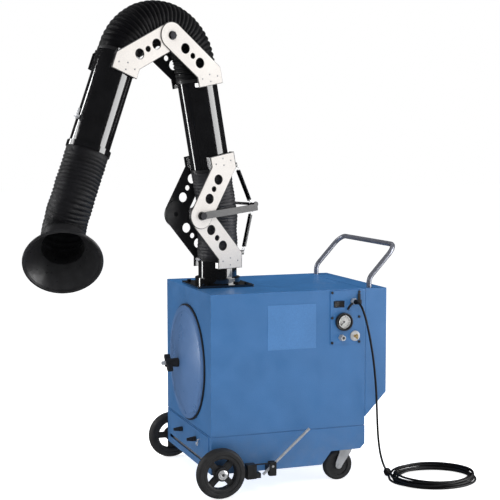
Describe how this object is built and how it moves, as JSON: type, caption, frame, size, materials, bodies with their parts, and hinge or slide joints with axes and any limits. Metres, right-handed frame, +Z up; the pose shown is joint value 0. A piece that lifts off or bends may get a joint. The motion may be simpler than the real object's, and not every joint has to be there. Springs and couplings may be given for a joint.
{
  "type": "mobile fume extractor",
  "caption": "Wheeled filter cabinet with a two-link spring-balanced extraction arm, hood, push handle, control panel and mains cord.",
  "frame": {"origin": "on the floor under the middle of the machine's own bounding box, the free mains cord left out", "axes": "+Z up, +X from the filter door to the push handle, +Y to the far side, away from the control panel"},
  "size_m": [1.8539, 0.9495, 1.9483],
  "materials": {
    "blue_paint": "satin powder coat",
    "door_paint": "satin powder coat",
    "black_plastic": "moulded",
    "cord_rubber": "matte",
    "seal_rubber": "matte",
    "wheel_rubber": "matte",
    "zinc": "zinc plated",
    "chrome_tube": "polished",
    "filter_media": "pleated",
    "black_gloss": "gloss",
    "black_plate": "satin",
    "cream_plate": "satin",
    "lever_steel": "brushed",
    "lever_dark": "satin",
    "spring_steel": "blackened",
    "hose_fabric": "coated fabric",
    "hood_black": "gloss",
    "needle_red": "satin",
    "brass_key": "satin"
  },
  "bodies": {
    "cart": {"base_housing": "blue_paint", "cabinet": "blue_paint", "rear_housing": "blue_paint", "tie_rod": "zinc", "filter_cartridge": "filter_media", "fan_scroll": "zinc", "fan_motor": "zinc", "push_handle": "chrome_tube", "control_panel": "blue_paint", "panel_screws": "black_plastic", "gauge_case": "black_plastic", "cord_gland": "zinc", "cord_hook": "black_plastic", "air_coupling": "zinc", "lock_barrel": "zinc", "front_axle": "zinc", "caster_plates": "zinc", "brake_block": "black_plastic", "arm_flange": "black_gloss", "power_cord": "cord_rubber", "cord_coil": "cord_rubber", "mains_plug": "cord_rubber"},
    "turret": {"column_tube": "black_gloss", "column_plates": "black_plate", "column_covers": "cream_plate", "lower_springs": "spring_steel"},
    "inner_arm": {"inner_tube": "black_gloss", "inner_plates": "black_plate", "inner_covers": "cream_plate", "arm_pivots": "zinc", "lower_hose": "hose_fabric", "upper_springs": "spring_steel"},
    "outer_arm": {"outer_tube": "black_gloss", "outer_plates": "black_plate", "outer_covers": "cream_plate", "elbow_hose": "hose_fabric"},
    "near_lever": {"near_balance_lever": "lever_steel"},
    "far_lever": {"far_balance_lever": "lever_dark"},
    "hood_swivel_ring": {"hood_collar": "black_gloss", "hood_hose": "hose_fabric"},
    "hood": {"hood": "hood_black"},
    "damper": {"damper_lever": "black_gloss"},
    "door": {"filter_door": "door_paint", "door_seal": "seal_rubber"},
    "door_knob": {"door_knob": "black_plastic"},
    "drawer": {"dust_drawer": "blue_paint"},
    "near_clamp": {"near_clamp_knob": "black_plastic"},
    "far_clamp": {"far_clamp_knob": "black_plastic"},
    "brake_lever": {"brake_lever": "zinc"},
    "brake_shoe": {"brake_shoe": "black_plastic"},
    "near_wheel": {"near_front_wheel": "wheel_rubber"},
    "far_wheel": {"far_front_wheel": "wheel_rubber"},
    "near_fork": {"near_caster_fork": "zinc"},
    "near_caster": {"near_caster_wheel": "wheel_rubber"},
    "far_fork": {"far_caster_fork": "zinc"},
    "far_caster": {"far_caster_wheel": "wheel_rubber"},
    "impeller": {"fan_impeller": "zinc"},
    "needle": {"gauge_needle": "needle_red"},
    "rocker": {"rocker_switch": "black_plastic"},
    "key": {"panel_key": "brass_key"}
  },
  "joints": [
    {"name": "arm_swivel", "type": "hinge", "parent": "cart", "child": "turret", "pos_m": [0.09, 0.043, 0.85], "axis": [0, 0, 1], "range_deg": [-95, 95]},
    {"name": "shoulder_tilt", "type": "hinge", "parent": "turret", "child": "inner_arm", "pos_m": [-0.05183, -0.00583, 1.094], "axis": [-0.3256, 0.9455, 0], "range_deg": [-18, 22], "deforming": ["lower_hose", "upper_springs"]},
    {"name": "elbow_fold", "type": "hinge", "parent": "inner_arm", "child": "outer_arm", "pos_m": [-0.18299, -0.051, 1.80764], "axis": [-0.3256, 0.9455, 0], "range_deg": [-8, 65], "deforming": ["elbow_hose"]},
    {"name": "near_lever_tilt", "type": "hinge", "parent": "turret", "child": "near_lever", "pos_m": [-0.05183, -0.00583, 1.094], "axis": [-0.3256, 0.9455, 0], "range_deg": [-9, 11], "deforming": ["lower_springs"]},
    {"name": "far_lever_tilt", "type": "hinge", "parent": "inner_arm", "child": "far_lever", "pos_m": [-0.05183, -0.00583, 1.094], "axis": [-0.3256, 0.9455, 0], "range_deg": [-11, 9]},
    {"name": "hood_swivel", "type": "hinge", "parent": "outer_arm", "child": "hood_swivel_ring", "pos_m": [-0.49789, -0.15943, 1.3533], "axis": [-0.3358, -0.1156, -0.9348], "range_deg": [-90, 90]},
    {"name": "hood_tilt", "type": "hinge", "parent": "hood_swivel_ring", "child": "hood", "pos_m": [-0.59656, -0.15457, 1.04978], "axis": [-0.9813, 0.1923, 0], "range_deg": [-25, 25], "deforming": ["hood_hose"]},
    {"name": "damper_turn", "type": "hinge", "parent": "outer_arm", "child": "damper", "pos_m": [-0.45995, -0.14636, 1.45893], "axis": [-0.8839, -0.3043, 0.3551], "range_deg": [0, 90]},
    {"name": "door_lift_off", "type": "slide", "parent": "cart", "child": "door", "axis": [-1, 0, 0], "range_m": [0, 0.12]},
    {"name": "door_knob_turn", "type": "hinge", "parent": "door", "child": "door_knob", "pos_m": [-0.047, 0.02, 0.485], "axis": [1, 0, 0], "continuous": true},
    {"name": "drawer_slide", "type": "slide", "parent": "cart", "child": "drawer", "axis": [-1, 0, 0], "range_m": [0, 0.3]},
    {"name": "near_clamp_turn", "type": "hinge", "parent": "drawer", "child": "near_clamp", "pos_m": [-0.047, -0.097, 0.187], "axis": [1, 0, 0], "range_deg": [0, 90]},
    {"name": "far_clamp_turn", "type": "hinge", "parent": "drawer", "child": "far_clamp", "pos_m": [-0.047, 0.095, 0.187], "axis": [1, 0, 0], "range_deg": [0, 90]},
    {"name": "brake_lever_turn", "type": "hinge", "parent": "cart", "child": "brake_lever", "pos_m": [0.191, -0.338, 0.112], "axis": [0, 1, 0], "range_deg": [0, 10]},
    {"name": "brake_shoe_slide", "type": "slide", "parent": "cart", "child": "brake_shoe", "axis": [-1, 0, 0], "range_m": [0, 0.006]},
    {"name": "near_wheel_spin", "type": "hinge", "parent": "cart", "child": "near_wheel", "pos_m": [-0.022, -0.335, 0.1], "axis": [0, 1, 0], "continuous": true},
    {"name": "far_wheel_spin", "type": "hinge", "parent": "cart", "child": "far_wheel", "pos_m": [-0.022, 0.375, 0.1], "axis": [0, 1, 0], "continuous": true},
    {"name": "near_caster_swivel", "type": "hinge", "parent": "cart", "child": "near_fork", "pos_m": [0.556, -0.228, 0.14], "axis": [0, 0, 1], "continuous": true},
    {"name": "near_caster_spin", "type": "hinge", "parent": "near_fork", "child": "near_caster", "pos_m": [0.519, -0.228, 0.062], "axis": [0, 1, 0], "continuous": true},
    {"name": "far_caster_swivel", "type": "hinge", "parent": "cart", "child": "far_fork", "pos_m": [0.556, 0.268, 0.14], "axis": [0, 0, 1], "continuous": true},
    {"name": "far_caster_spin", "type": "hinge", "parent": "far_fork", "child": "far_caster", "pos_m": [0.519, 0.268, 0.062], "axis": [0, 1, 0], "continuous": true},
    {"name": "impeller_spin", "type": "hinge", "parent": "cart", "child": "impeller", "pos_m": [0.473, 0.02, 0.485], "axis": [1, 0, 0], "continuous": true},
    {"name": "needle_turn", "type": "hinge", "parent": "cart", "child": "needle", "pos_m": [0.515, -0.293, 0.666], "axis": [0, 1, 0], "range_deg": [0, 270]},
    {"name": "rocker_tip", "type": "hinge", "parent": "cart", "child": "rocker", "pos_m": [0.495, -0.294, 0.738], "axis": [0, 0, 1], "range_deg": [0, 8]},
    {"name": "key_turn", "type": "hinge", "parent": "cart", "child": "key", "pos_m": [0.565, -0.293, 0.606], "axis": [0, 1, 0], "range_deg": [0, 90]}
  ],
  "couplings": [
    {"joint": "near_lever_tilt", "follows": "shoulder_tilt", "ratio": 0.5},
    {"joint": "far_lever_tilt", "follows": "shoulder_tilt", "ratio": -0.5},
    {"joint": "brake_shoe_slide", "follows": "brake_lever_turn", "m_per_rad": 0.032}
  ]
}
